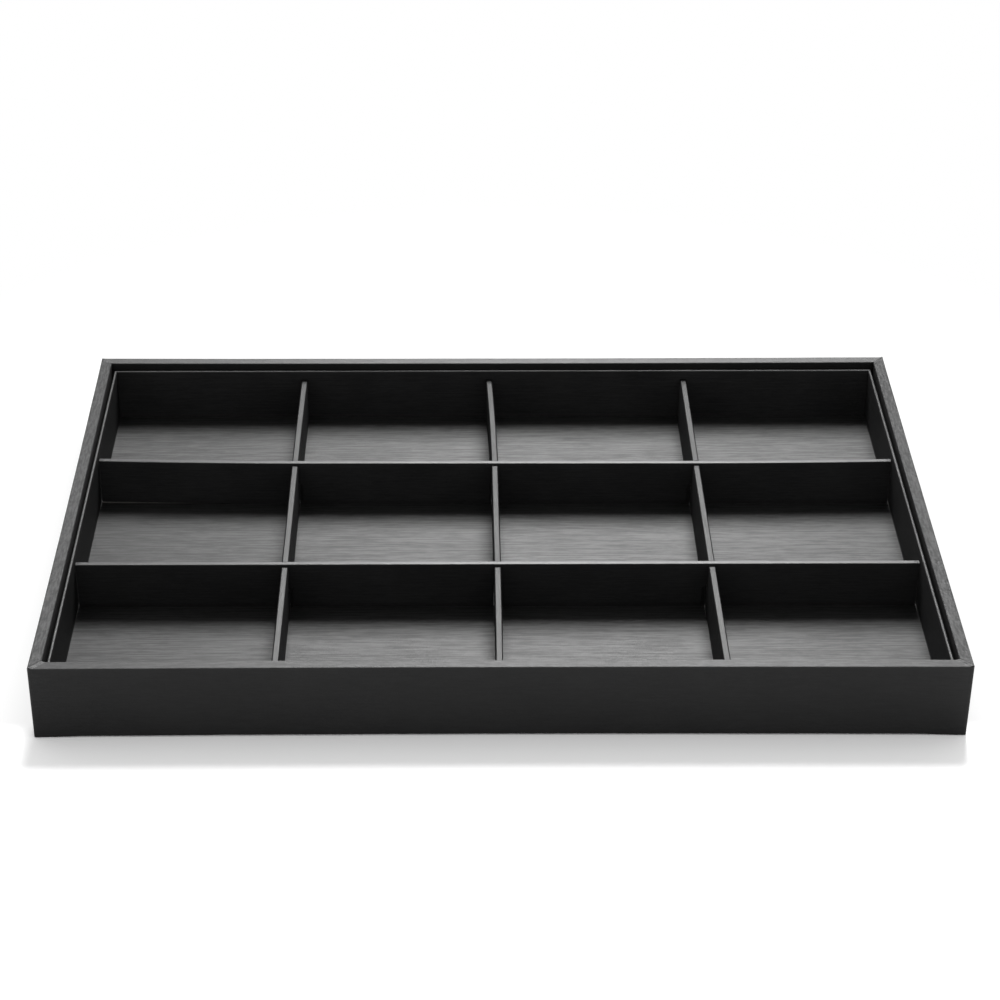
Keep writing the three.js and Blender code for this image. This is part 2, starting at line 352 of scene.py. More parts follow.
def store_grain(wire, mesh, seed):
    """Keeps each point's place on the flat strip, so the grain follows the strip round the board, and
    how upright the surface is there."""
    value = wire.vector(named(wire, "along"), named(wire, "around"), seed)
    stored = {"Geometry": mesh, "Name": "grain", "Value": value}
    settings = {"data_type": "FLOAT_VECTOR", "domain": "POINT"}
    mesh = wire.add("GeometryNodeStoreNamedAttribute", settings, stored)
    upright = 1 - wire.add("GeometryNodeInputNormal", output="Normal").parts()[2].size()
    stored = {"Geometry": mesh, "Name": "upright", "Value": upright}
    settings = {"data_type": "FLOAT", "domain": "POINT"}
    return wire.add("GeometryNodeStoreNamedAttribute", settings, stored)


def wave_offset(wire, inputs, strength):
    """A slow unevenness of the covering, out of and into the surface."""
    drift = wire.vector(named(wire, "along"), named(wire, "around"), inputs["Seed"])
    uneven = wire.noise(drift, 1 / inputs["Wave length"], 2.0) - 0.5
    normal = wire.add("GeometryNodeInputNormal", output="Normal")
    push = uneven * 2 * inputs["Wave height"] * strength
    return wire.add("ShaderNodeVectorMath", {"operation": "SCALE"}, {"Vector": normal, "Scale": push})


def mitred_side_tree():
    """A rail along one side of a frame, or the strip wrapped round it, mitred at both ends."""
    sizes = [
        "Length", "Crowding", "Mitre setback", "Corner radius", "Fold", "Fold flat", "Fold length",
        "Fold top", "Top bow", "Foot bow", "Height", "Lip", "Lip width", "Lip bottom", "Pucker size",
        "Wave height", "Wave length", "Seed",
    ]
    tree, inputs = new_tree("mitred_side", sizes, ["Stations"])
    half, mesh = follow_side(inputs)
    mesh = store_grain(half, mesh, inputs["Seed"])
    skin = named(half, "skin")

    waved = {"Geometry": mesh, "Offset": wave_offset(half, inputs, skin)}
    mesh = half.add("GeometryNodeSetPosition", None, waved)

    x, inset, height = half.add("GeometryNodeInputPosition").parts()
    from_end = half - x.size()
    folded = 1 - from_end.eased(inputs["Fold flat"], inputs["Fold length"])
    low = 1 - height.eased(inputs["Fold top"] / 2, inputs["Fold top"])
    lip = 1 - from_end.eased(0, inputs["Lip width"])
    high = height.eased(inputs["Lip bottom"], inputs["Lip bottom"] + inputs["Lip width"])
    middle = 1 - (x / half) ** 2
    pucker = half.noise(half.vector(x, inset, inputs["Seed"]), 1 / inputs["Pucker size"], 1) * 2
    rise = skin * (lip * high * inputs["Lip"] * pucker - folded * low * inputs["Fold"])
    bow = inputs["Foot bow"] + (inputs["Top bow"] - inputs["Foot bow"]) * height / inputs["Height"]
    shift = middle * bow
    moved = {"Geometry": mesh, "Offset": half.vector(0, shift, rise)}
    mesh = half.add("GeometryNodeSetPosition", None, moved)

    x, inset, height = half.add("GeometryNodeInputPosition").parts()
    mitred = x * (1 - (inset + inputs["Mitre setback"]) / half)
    radius = inputs["Corner radius"]
    past = (mitred.size() - (half - radius)).most(0)
    out = (radius - inset).most(0)
    reach = (past * past + out * out) ** 0.5
    kept = (radius / reach.most(1e-6)).least(1)
    rounded_x = mitred.sign() * (mitred.size() - past * (1 - kept))
    rounded_inset = inset + out * (1 - kept)
    placed = {"Geometry": mesh, "Position": half.vector(rounded_x, rounded_inset, height)}
    mesh = half.add("GeometryNodeSetPosition", None, placed)
    close_tree(tree, mesh, inputs["Material"])
    return tree


def side_place(turn, depth):
    """From a side's own frame, with x along it and y inwards, to its place in the tray."""
    return Matrix.Rotation(math.radians(90) * turn, 4, "Z") @ Matrix.Translation((0, -depth / 2, 0))


side_names = ["front", "right", "back", "left"]
rail_low, rail_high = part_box("front_rail")
cover_low, cover_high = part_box("front_rail_cover")
base_low, base_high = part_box("base_board")
tray_length = cad_box[1][0] - cad_box[0][0]
tray_depth = cad_box[1][1] - cad_box[0][1]
rim_width = cover_high[1] - cover_low[1]
cover_thickness = rail_low[1] - cover_low[1]
rail_bottom = rail_low[2]
rail_top = rail_high[2]
rim_top = cover_high[2]
rail_inner = rim_width - cover_thickness
sawn_edge = 0.1 * mm

# How far each side bows in at the middle of its rim and of its foot
casing_bows = {
    "front": (0.65 * mm, 0.9 * mm),
    "right": (0.24 * mm, 0.24 * mm),
    "back": (0.5 * mm, 0.9 * mm),
    "left": (0.35 * mm, 0.35 * mm),
}

rail_section = section_object(
    "rail_section",
    [],
    drawn_run(
        [
            (rail_inner, base_high[2], 0),
            (rail_inner, rail_bottom, sawn_edge),
            (cover_thickness, rail_bottom, sawn_edge),
            (cover_thickness, rail_top, sawn_edge),
            (rail_inner, rail_top, sawn_edge),
            (rail_inner, base_high[2] + sawn_edge, 0),
        ],
        arc_steps=2,
        longest=8 * mm,
    ),
)
mitred_side = mitred_side_tree()
for turn, side in enumerate(side_names):
    across = turn % 2 == 1
    top_bow, foot_bow = casing_bows[side]
    values = {
        "Length": tray_depth if across else tray_length,
        "Crowding": 1.0,
        "Mitre setback": 0.12 * mm,
        "Corner radius": 1.1 * mm,
        "Fold": 0.0,
        "Fold flat": 1 * mm,
        "Fold length": 2 * mm,
        "Fold top": 1 * mm,
        "Top bow": top_bow,
        "Foot bow": foot_bow,
        "Height": rim_top,
        "Lip": 0.0,
        "Lip width": 1 * mm,
        "Lip bottom": rail_top,
        "Pucker size": 1 * mm,
        "Wave height": 0.0,
        "Wave length": 30 * mm,
        "Seed": 0.3 + 1.7 * turn,
        "Stations": 61,
        "Material": fibreboard,
    }
    place = side_place(turn, tray_length if across else tray_depth)
    rail = made_mesh(f"{side}_bowed_rail", rail_section, mitred_side, values, place)
    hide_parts(f"{side}_rail")
    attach(rail, "casing")
bpy.data.objects.remove(rail_section)


# Each rail is wrapped in a strip of black leatherette, glued from under the rail up its outside, over
# the rim and down inside to the base. The strips are cut to the mitre, and under each corner their
# ends are folded double, so the tray stands on those eight folds.
def leatherette(
    name, roughness, scratch_depth, dull_share, edge_shade_share, streaks, dull_tones, painted_shade_from=1.0
):
    """Black vinyl leather, brushed along its length: hair-fine scratches spread its sheen across the
    grain, and soft dull streaks and clouds vary it. Its upright faces are pressed and look duller. Past
    painted_shade_from on the strip, the side that turns down inside the gap is painted black, as
    painted shade in that recess. Its rounded edges are painted black as well, as painted shade where an
    edge turns from the light. streaks is their share, length and width."""
    streak_share, streak_length, streak_width = streaks
    material, shader, start = new_material(name, {"IOR": 1.55, "Specular IOR Level": 1.0})
    place = start.add("ShaderNodeAttribute", {"attribute_name": "grain"}, output="Vector")
    scratches = start.noise(place.scaled(1 / scratch_length, 1 / scratch_width, 1), 1, 0)
    short_streak = start.noise(place.scaled(1 / streak_length, 1 / streak_width, 1), 1, 3, 0.72)
    long_streak_scale = (longer_streak / streak_length, thinner_streak / streak_width, 1)
    long_streak = start.noise(place.scaled(*long_streak_scale), 1, 1)
    streak = (short_streak + long_streak - 1) * streak_contrast + 0.5
    clouds = start.noise(place, 1 / cloud_size, 2)
    shade = (streak * 0.6 + clouds * 0.4).eased(0.3, 0.7)
    tone = shade.mixed((*leather_dark, 1), (*leather_light, 1))
    rough = roughness + (streak - 0.5) * streak_roughness + (clouds - 0.5) * cloud_roughness
    height = scratches * scratch_depth + streak * (streak_relief / scratch_relief)
    finish_material(shader, start, tone, rough, height, scratch_relief)

    dull = start.tree.nodes.new("ShaderNodeBsdfPrincipled")
    dull.inputs["Specular IOR Level"].default_value = dull_gloss
    dull_dark, dull_light = dull_tones
    upright = start.add("ShaderNodeAttribute", {"attribute_name": "upright"}, output="Fac")
    # The rounded edges are painted black: painted shade where an edge turns from the light.
    edge = upright.eased(*round_starts) * (1 - upright.eased(*round_ends)) * edge_shade_share
    # The side that turns down inside the gap is painted black: painted shade in that recess.
    painted_gap_shade = place.parts()[1].eased(painted_shade_from, painted_shade_from + 1 * mm)
    pressed_tone = shade.mixed((*dull_dark, 1), (*dull_light, 1))
    dull_tone_and_shade = painted_gap_shade.most(edge).mixed(pressed_tone, (*leather_dark, 1))
    finish_material(dull, start, dull_tone_and_shade, rough + dull_roughness, height, scratch_relief)
    brushed, pressed = [Wire(start.tree, each.outputs["BSDF"]) for each in (shader, dull)]
    dull_streak = streak.eased(*streak_edges) * streak_share
    dullness_and_shade = (upright * dull_share).most(edge).most(dull_streak)
    surface = start.add("ShaderNodeMixShader", None, [dullness_and_shade, brushed, pressed])
    start.tree.links.new(surface.socket, start.tree.nodes["Material Output"].inputs["Surface"])
    return material


leather_dark = (0.0020, 0.0020, 0.0021)
leather_light = (0.0045, 0.0045, 0.0046)
pressed_tones = ((0.022, 0.022, 0.0225), (0.036, 0.036, 0.0365))
black_tones = ((0.002, 0.002, 0.002), (0.004, 0.004, 0.004))
scratch_length = 0.6 * mm
scratch_width = 0.06 * mm
scratch_relief = 0.048 * mm
streak_relief = 0.06 * mm
# The long streaks stretch further than the short ones and are a little thinner
longer_streak = 0.3
thinner_streak = 1.3
streak_contrast = 0.66
streak_edges = (0.36, 0.64)
streak_roughness = 0.06
cloud_size = 24 * mm
cloud_roughness = 0.08
dull_gloss = 0.05
dull_roughness = 0.2
# How upright the surface is where a rounded edge starts and where it ends
round_starts = (0.003, 0.09)
round_ends = (0.6, 0.95)
# How far round the strip, from its edge under the rail, it turns down inside. Past there the strip
# is painted black, as painted shade in the gap between rim and liner.
inner_side = 39.5 * mm
casing_leatherette = leatherette(
    "casing_leatherette",
    roughness=0.50,
    scratch_depth=0.95,
    dull_share=0.5,
    edge_shade_share=0.3,
    streaks=(0.22, 3 * mm, 0.9 * mm),
    dull_tones=pressed_tones,
    painted_shade_from=inner_side,
)
casing_leatherette_across = leatherette(
    "casing_leatherette_across",
    roughness=0.52,
    scratch_depth=1.6,
    dull_share=0.5,
    edge_shade_share=0.7,
    streaks=(0.48, 1.6 * mm, 1 * mm),
    dull_tones=pressed_tones,
    painted_shade_from=inner_side,
)
# The back strip has fewer dull streaks
casing_leatherette_back = leatherette(
    "casing_leatherette_back",
    roughness=0.50,
    scratch_depth=0.95,
    dull_share=0.5,
    edge_shade_share=0.3,
    streaks=(0.08, 3 * mm, 0.9 * mm),
    dull_tones=pressed_tones,
    painted_shade_from=inner_side,
)
casing_materials = {
    "front": casing_leatherette,
    "right": casing_leatherette_across,
    "back": casing_leatherette_back,
    "left": casing_leatherette_across,
}

strip_bottom = rail_bottom - cover_thickness
foot_edge = 0.5 * mm
rim_edge = 0.5 * mm
inner_edge = 0.42 * mm

rail_cover_section = section_object(
    "rail_cover_section",
    drawn_run(
        [
            (rail_inner, strip_bottom, 0),
            (0, strip_bottom, foot_edge),
            (0, rim_top, rim_edge),
            (rim_width, rim_top, inner_edge),
            (rim_width, base_high[2], 0),
        ],
        arc_steps=9,
        longest=1.2 * mm,
    ),
    drawn_run(
        [
            (rail_inner, base_high[2], 0),
            (rail_inner, rail_top, sawn_edge),
            (cover_thickness, rail_top, sawn_edge),
            (cover_thickness, rail_bottom, sawn_edge),
            (rail_inner, rail_bottom, 0),
        ],
        arc_steps=3,
        longest=8 * mm,
    ),
)

# Each strip stands up a little at its mitres
corner_lips = {"front": 0.46 * mm, "right": 0.30 * mm, "back": 0.14 * mm, "left": 0.30 * mm}
for turn, side in enumerate(side_names):
    across = turn % 2 == 1
    top_bow, foot_bow = casing_bows[side]
    values = {
        "Length": tray_depth if across else tray_length,
        "Crowding": 1.6,
        "Mitre setback": 0.04 * mm,
        "Corner radius": 1.1 * mm,
        "Fold": strip_bottom,
        "Fold flat": 2 * mm,
        "Fold length": 20 * mm,
        "Fold top": 2.4 * mm,
        "Top bow": top_bow,
        "Foot bow": foot_bow,
        "Height": rim_top,
        "Lip": corner_lips[side],
        "Lip width": 1.6 * mm,
        "Lip bottom": rim_top - 1.5 * mm,
        "Pucker size": 1.8 * mm,
        "Wave height": 0.08 * mm,
        "Wave length": 26 * mm,
        "Seed": 0.7 + 3.1 * turn,
        "Stations": 241,
        "Material": casing_materials[side],
    }
    place = side_place(turn, tray_length if across else tray_depth)
    strip = made_mesh(f"{side}_rail_strip", rail_cover_section, mitred_side, values, place)
    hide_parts(f"{side}_rail_cover")
    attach(strip, "casing")
bpy.data.objects.remove(rail_cover_section)


# The base is a fibreboard panel glued inside the frame, and a sheet of black uncoated paper is pasted
# over it and the turned-in strips. The paper's corners are clipped to clear the folds.
flat_margin = 4 * mm


def level_sheet_tree():
    """A level panel or sheet whose edges can bow in at their middles, with a slightly uneven top."""
    sizes = [
        "Length", "Depth", "Bottom", "Thickness", "Front bow", "Right bow", "Back bow", "Left bow",
        "Wave height", "Wave length", "Seed",
    ]
    tree, inputs = new_tree("level_sheet", sizes, ["Points along", "Points across"])
    start = inputs["Length"]
    grid = {
        "Size X": inputs["Length"],
        "Size Y": inputs["Depth"],
        "Vertices X": inputs["Points along"],
        "Vertices Y": inputs["Points across"],
    }
    under = start.add("GeometryNodeMeshGrid", None, grid, output="Mesh")
    x, y, z = start.add("GeometryNodeInputPosition").parts()
    stored = {"Geometry": under, "Name": "grain", "Value": start.vector(x, y, inputs["Seed"])}
    settings = {"data_type": "FLOAT_VECTOR", "domain": "POINT"}
    under = start.add("GeometryNodeStoreNamedAttribute", settings, stored)
    raised = {"Mesh": under, "Offset Scale": inputs["Thickness"], "Individual": False}
    upper = start.add("GeometryNodeExtrudeMesh", {"mode": "FACES"}, raised, output="Mesh")
    mesh = start.add("GeometryNodeJoinGeometry", None, {"Geometry": [upper, under]})

    half_length = inputs["Length"] / 2
    half_depth = inputs["Depth"] / 2
    inwards_from_front = inputs["Front bow"] * (0.5 - y / inputs["Depth"])
    inwards_from_back = inputs["Back bow"] * (0.5 + y / inputs["Depth"])
    inwards_from_left = inputs["Left bow"] * (0.5 - x / inputs["Length"])
    inwards_from_right = inputs["Right bow"] * (0.5 + x / inputs["Length"])
    bowed_x = (1 - (y / half_depth) ** 2) * (inwards_from_left - inwards_from_right)
    bowed_y = (1 - (x / half_length) ** 2) * (inwards_from_front - inwards_from_back)
    drift = start.vector(x, y, inputs["Seed"])
    uneven = (start.noise(drift, 1 / inputs["Wave length"], 2.0) - 0.5) * 2 * inputs["Wave height"]
    edge = (half_length - x.size()).least(half_depth - y.size()).eased(0, flat_margin)
    top = z / inputs["Thickness"]
    lifted = start.vector(bowed_x, bowed_y, inputs["Bottom"] + uneven * edge * top)
    mesh = start.add("GeometryNodeSetPosition", None, {"Geometry": mesh, "Offset": lifted})
    close_tree(tree, mesh, inputs["Material"])
    return tree


level_sheet = level_sheet_tree()
sheet_source = bpy.data.objects.new("sheet_source", bpy.data.meshes.new("sheet_source"))
bpy.context.scene.collection.objects.link(sheet_source)
values = {
    "Length": base_high[0] - base_low[0],
    "Depth": base_high[1] - base_low[1],
    "Bottom": base_low[2],
    "Thickness": base_high[2] - base_low[2],
    **{f"{side.title()} bow": bows[1] for side, bows in casing_bows.items()},
    "Wave height": 0.0,
    "Wave length": 30 * mm,
    "Seed": 3.0,
    "Points along": 41,
    "Points across": 29,
    "Material": fibreboard,
}
base = made_mesh("bowed_base", sheet_source, level_sheet, values, Matrix.Identity(4))
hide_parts("base_board")
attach(base, "casing")


def paper_material(name, colour, roughness, relief):
    """Uncoated paper: a soft felted tooth with faint cockles from the paste."""
    material, shader, start = new_material(name, {"Specular IOR Level": 0.25})
    place = start.add("ShaderNodeTexCoord", output="Object")
    tooth = start.noise(place, 1 / paper_tooth, 4, 0.65)
    cockles = start.noise(place.scaled(1, 0.6, 1), 1 / paper_cockle, 2)
    shade = (tooth * 0.6 + cockles * 0.4).eased(0.35, 0.65)
    dark = [value * 0.75 for value in colour]
    light = [value * 1.25 for value in colour]
    tone = shade.mixed((*dark, 1), (*light, 1))
    rough = roughness + (tooth - 0.5) * 0.15
    finish_material(shader, start, tone, rough, tooth * 0.15 + cockles * 4, relief)
    return material


def give_material(node, material):
    """Puts a material on a solid of the frame."""
    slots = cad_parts[node].material_slots
    if len(slots):
        for each in slots:
            each.material = material
    else:
        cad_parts[node].data.materials.append(material)


paper_tooth = 0.3 * mm
paper_cockle = 38 * mm
lining_paper = paper_material("lining_paper", (0.022, 0.022, 0.024), 0.86, 0.1 * mm)
give_material("underside_lining", lining_paper)


# The liner drops into the casing with a narrow gap all round. It is a tray of thin raw greyboard, with
# four walls glued round a floor board.
greyboard = board_material(
    "greyboard",
    light=(0.34, 0.33, 0.31),
    dark=(0.20, 0.19, 0.18),
    fibre_length=1.8 * mm,
    fibre_width=0.25 * mm,
    roughness=0.85,
    relief=0.04 * mm,
)
give_material("liner_floor_board", greyboard)
for side in side_names:
    give_material(f"{side}_liner_board", greyboard)


# The liner's walls are covered in brushed leatherette, thinner than the casing's: it lines the inside,
# goes over the wall's edge and turns down outside as a hem.
# The front and back liner walls and the long dividers are painted lighter: painted light on the faces
# turned towards the camera.
painted_light_tones = ((0.028, 0.028, 0.0286), (0.044, 0.044, 0.0446))
brushed_leatherette = leatherette(
    "brushed_leatherette",
    roughness=0.46,
    scratch_depth=0.55,
    dull_share=1.0,
    edge_shade_share=0.0,
    streaks=(0.05, 4 * mm, 0.7 * mm),
    dull_tones=painted_light_tones,
)
brushed_leatherette_across = leatherette(
    "brushed_leatherette_across",
    roughness=0.50,
    scratch_depth=0.95,
    dull_share=1.0,
    edge_shade_share=0.0,
    streaks=(0.15, 4 * mm, 0.7 * mm),
    dull_tones=pressed_tones,
)
# The left wall's strip is painted darker: painted shade on the wall that turns towards the softbox.
left_wall_shade_tones = ((0.012, 0.012, 0.0122), (0.020, 0.020, 0.0203))
brushed_leatherette_shaded_left = leatherette(
    "brushed_leatherette_shaded_left",
    roughness=0.50,
    scratch_depth=0.95,
    dull_share=1.0,
    edge_shade_share=0.0,
    streaks=(0.15, 4 * mm, 0.7 * mm),
    dull_tones=left_wall_shade_tones,
)
liner_materials = {
    "front": brushed_leatherette,
    "right": brushed_leatherette_across,
    "back": brushed_leatherette,
    "left": brushed_leatherette_shaded_left,
}

liner_board_low, liner_board_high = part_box("front_liner_board")
liner_cover_low, liner_cover_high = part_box("front_liner_cover")
liner_low, liner_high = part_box("liner_floor_board")
liner_length = liner_high[0] - liner_low[0]
liner_depth = liner_high[1] - liner_low[1]
liner_wall = liner_cover_high[1] - liner_cover_low[1]
liner_skin = liner_board_low[1] - liner_cover_low[1]
liner_top = liner_cover_high[2]
liner_foot = liner_cover_low[2]
liner_hem = 12 * mm

liner_cover_section = section_object(
    "liner_cover_section",
    drawn_run(
        [
            (0, liner_top - liner_hem, 0),
            (0, liner_top, liner_wall / 2),
            (liner_wall, liner_top, liner_wall / 2),
            (liner_wall, liner_foot, 0),
        ],
        arc_steps=7,
        longest=2.4 * mm,
    ),
    drawn_run(
        [
            (liner_wall - liner_skin, liner_foot, 0),
            (liner_wall - liner_skin, liner_board_high[2], liner_wall / 2 - liner_skin),
            (liner_skin, liner_board_high[2], liner_wall / 2 - liner_skin),
            (liner_skin, liner_top - liner_hem, 0),
        ],
        arc_steps=3,
        longest=6 * mm,
    ),
)

for turn, side in enumerate(side_names):
    across = turn % 2 == 1
    length = liner_depth if across else liner_length
    depth = liner_length if across else liner_depth
    values = {
        "Length": length,
        "Crowding": 1.5,
        "Mitre setback": 0.05 * mm,
        "Corner radius": 0.5 * mm,
        "Fold": 0.0,
        "Fold flat": 1 * mm,
        "Fold length": 2 * mm,
        "Fold top": 1 * mm,
        "Top bow": 0.0,
        "Foot bow": 0.0,
        "Height": liner_top,
        "Lip": 0.05 * mm,
        "Lip width": 1.5 * mm,
        "Lip bottom": liner_top - 2 * mm,
        "Pucker size": 1.8 * mm,
        "Wave height": 0.12 * mm,
        "Wave length": 30 * mm,
        "Seed": 20.3 + 2.7 * turn,
        "Stations": 181,
        "Material": liner_materials[side],
    }
    place = side_place(turn, depth)
    strip = made_mesh(f"{side}_liner_strip", liner_cover_section, mitred_side, values, place)
    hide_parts(f"{side}_liner_cover")
    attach(strip, "liner")
bpy.data.objects.remove(liner_cover_section)


# The floor covering is one sheet of the brushed leatherette, glued to the floor board with its grain
# from left to right. It lies a little unevenly, which shows in its sheen.
covering_low, covering_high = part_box("floor_covering")
floor_level = covering_high[2]
floor_leatherette = leatherette(
    "floor_leatherette",
    roughness=0.50,
    scratch_depth=0.80,
    dull_share=0.0,
    edge_shade_share=0.0,
    streaks=(0.31, 7.5 * mm, 0.85 * mm),
    dull_tones=black_tones,
)
values = {
    "Length": liner_length - 2 * liner_wall,
    "Depth": liner_depth - 2 * liner_wall,
    "Bottom": covering_low[2],
    "Thickness": floor_level - covering_low[2],
    **{f"{side.title()} bow": 0.0 for side in side_names},
    "Wave height": 0.07 * mm,
    "Wave length": 34 * mm,
    "Seed": 4.2,
    "Points along": 201,
    "Points across": 135,
    "Material": floor_leatherette,
}
covering = made_mesh("floor_sheet", sheet_source, level_sheet, values, Matrix.Identity(4))
bpy.data.objects.remove(sheet_source)
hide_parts("floor_covering")
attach(covering, "liner")


# The three cross dividers are strips of greyboard with leatherette over their top edge and down both
# sides. Each is slotted from its top edge, stands on the floor and bends a little past its last slot.
curl_power = 1.7
# The bared foot fades over a sixth of the divider's height
foot_fade = 6


def slotted_divider_tree():
    """A covered board with a row of slots, which leans and curls a little along its length. A cover cut
    short bares its board along the foot of its start."""
    sizes = [
        "Length", "Crowding", "Slot pitch", "Slot width", "Slot depth", "Slot bottom", "Slot height",
        "Turn", "Start curl", "End curl", "Curl from", "Foot", "Top", "Foot share", "Tilt", "Cut short",
        "Wave height", "Wave length", "Seed",
    ]
    tree, inputs = new_tree("slotted_divider", sizes, ["Stations", "Slots"])
    half, mesh = follow_side(inputs)
    mesh = store_grain(half, mesh, inputs["Seed"])

    row = (inputs["Slots"] - 1) * inputs["Slot pitch"]
    first = half.vector(0 - row / 2, 0, inputs["Slot bottom"] + inputs["Slot height"] / 2)
    pitch = half.vector(inputs["Slot pitch"], 0, 0)
    places = {"Count": inputs["Slots"], "Start Location": first, "Offset": pitch}
    points = half.add("GeometryNodeMeshLine", {"mode": "OFFSET"}, places)
    size = half.vector(inputs["Slot width"], inputs["Slot depth"], inputs["Slot height"])
    cutter = half.add("GeometryNodeMeshCube", None, {"Size": size}, output="Mesh")
    cutters = half.add("GeometryNodeInstanceOnPoints", None, {"Points": points, "Instance": cutter})
    cutters = half.add("GeometryNodeRealizeInstances", None, {"Geometry": cutters})
    cut = {"Mesh 1": mesh, "Mesh 2": cutters}
    settings = {"operation": "DIFFERENCE", "solver": "EXACT"}
    mesh = half.add("GeometryNodeMeshBoolean", settings, cut, output="Mesh")

    waved = {"Geometry": mesh, "Offset": wave_offset(half, inputs, named(half, "skin"))}
    mesh = half.add("GeometryNodeSetPosition", None, waved)

    place = half.add("GeometryNodeInputPosition").parts()
    x = place[0]
    height = place[2]
    free = half - inputs["Curl from"]
    past_start = ((0 - x - inputs["Curl from"]) / free).most(0) ** curl_power
    past_end = ((x - inputs["Curl from"]) / free).most(0) ** curl_power
    lean = x / half * inputs["Turn"]
    share = inputs["Foot share"]
    raised = (height - inputs["Foot"]) / (inputs["Top"] - inputs["Foot"])
    upper = share + (1 - share) * raised
    curl = past_start * inputs["Start curl"] + past_end * inputs["End curl"]
    sideways = lean + upper * curl + raised * raised * inputs["Tilt"]
    bared = inputs["Cut short"] * past_start * (1 - raised * foot_fade).most(0)
    bent = {"Geometry": mesh, "Offset": half.vector(0, sideways, bared)}
    mesh = half.add("GeometryNodeSetPosition", None, bent)
    close_tree(tree, mesh, inputs["Material"])
    return tree


cross_edge = 0.62 * mm
long_edge = 0.45 * mm
cross_glue = 0.2 * mm


def divider_sections(name, board_node, cover_node, across):
    """The sections of a divider's board and of its cover, from the frame's solids. The glue under a
    cross divider's cover makes it a little thicker than its solid."""
    board_low, board_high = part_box(board_node)
    divider_low, divider_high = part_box(cover_node)
    axis = 0 if across else 1
    half_board = (board_high[axis] - board_low[axis]) / 2
    glue = cross_glue if across else 0.0
    half_cover = (divider_high[axis] - divider_low[axis]) / 2 + glue
    foot = divider_low[2]
    board_top = board_high[2]
    top = divider_high[2]
    edge = cross_edge if across else long_edge
    cover_outer = [
        (-half_cover, foot, 0),
        (-half_cover, top, edge),
        (half_cover, top, edge),
        (half_cover, foot, 0),
    ]
    board_outer = [
        (-half_board, foot, 0),
        (-half_board, board_top, sawn_edge),
        (half_board, board_top, sawn_edge),
        (half_board, foot, 0),
    ]
    outside = drawn_run(cover_outer, arc_steps=9, longest=2.4 * mm)
    inside = drawn_run(board_outer[::-1], arc_steps=3, longest=6 * mm)
    board_outside = drawn_run(board_outer, arc_steps=3, longest=6 * mm)
    cover = section_object(f"{name}_cover_section", outside, inside)
    board = section_object(f"{name}_board_section", board_outside, [])
    return board, cover


def add_divider(name, across, values, bends, place, body):
    """Makes a divider's board and its cover, bent alike, and lets them ride on their body."""
    board_node = f"{name}_board"
    cover_node = f"{name}_cover"
    board_section, cover_section = divider_sections(name, board_node, cover_node, across)
    covering = divider_leatherette_across if across else divider_leatherette
    for section, node, material, slot in (
        (board_section, board_node, greyboard, "greyboard"),
        (cover_section, cover_node, covering, "brushed_leatherette"),
    ):
        own = {**values, **bends, "Material": material}
        if section is board_section:
            own["Wave height"] = 0.0
            own["Cut short"] = 0.0
        piece = made_mesh(f"{node}_bent", section, slotted_divider, own, place)
        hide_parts(node)
        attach(piece, body)
        bpy.data.objects.remove(section)


divider_leatherette = leatherette(
    "divider_leatherette",
    roughness=0.44,
    scratch_depth=0.5,
    dull_share=1.0,
    edge_shade_share=0.3,
    streaks=(0.0, 4 * mm, 0.7 * mm),
    dull_tones=painted_light_tones,
)
divider_leatherette_across = leatherette(
    "divider_leatherette_across",
    roughness=0.50,
    scratch_depth=0.95,
    dull_share=1.0,
    edge_shade_share=0.9,
    streaks=(0.15, 4 * mm, 0.7 * mm),
    dull_tones=pressed_tones,
)
slotted_divider = slotted_divider_tree()
cross_low, cross_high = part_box("left_cross_divider_cover")
centre_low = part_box("centre_cross_divider_cover")[0]
back_low, back_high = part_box("back_long_divider_cover")
front_low, front_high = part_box("front_long_divider_cover")
column_pitch = centre_low[0] - cross_low[0]
row_pitch = back_low[1] - front_low[1]
divider_thickness = cross_high[0] - cross_low[0]
wide_clearance = 0.85 * mm
slot_clearance = 0.38 * mm
lap_clearance = 0.4 * mm
overrun = 1 * mm
cross_top = cross_high[2]
lap_level = (floor_level + cross_top) / 2

cross_values = {
    "Length": cross_high[1] - cross_low[1],
    "Crowding": 1.0,
    "Slot pitch": row_pitch,
    "Slot width": divider_thickness + 2 * wide_clearance,
    "Slot depth": divider_thickness + 2 * overrun,
    "Slot bottom": lap_level - lap_clearance / 2,
    "Slot height": cross_top + overrun - lap_level,
    "Curl from": row_pitch / 2,
    "Foot": floor_level,
    "Top": cross_top,
    "Foot share": 1.0,
    "Cut short": 0.0,
    "Wave height": 0.07 * mm,
    "Wave length": 18 * mm,
    "Stations": 96,
    "Slots": 2,
}
# How each cross divider turns, curls and tilts to the left. It starts at its front end.
cross_bends = {
    "left": {
        "Turn": 0.05 * mm,
        "Start curl": 0.1 * mm,
        "End curl": -0.5 * mm,
        "Tilt": 0.0,
        "Seed": 31.0,
    },
    "centre": {
        "Turn": 0.1 * mm,
        "Start curl": 0.4 * mm,
        "End curl": 1.5 * mm,
        "Tilt": 0.15 * mm,
        "Seed": 34.0,
    },
    "right": {
        "Turn": 0.0,
        "Start curl": -0.2 * mm,
        "End curl": -0.1 * mm,
        "Tilt": -0.5 * mm,
        "Seed": 37.0,
    },
}
for i, (name, bends) in enumerate(cross_bends.items()):
    turned = Matrix.Rotation(math.radians(90), 4, "Z")
    place = Matrix.Translation(((i - 1) * column_pitch, 0, 0)) @ turned
    add_divider(f"{name}_cross_divider", True, cross_values, bends, place, "divider_lattice")


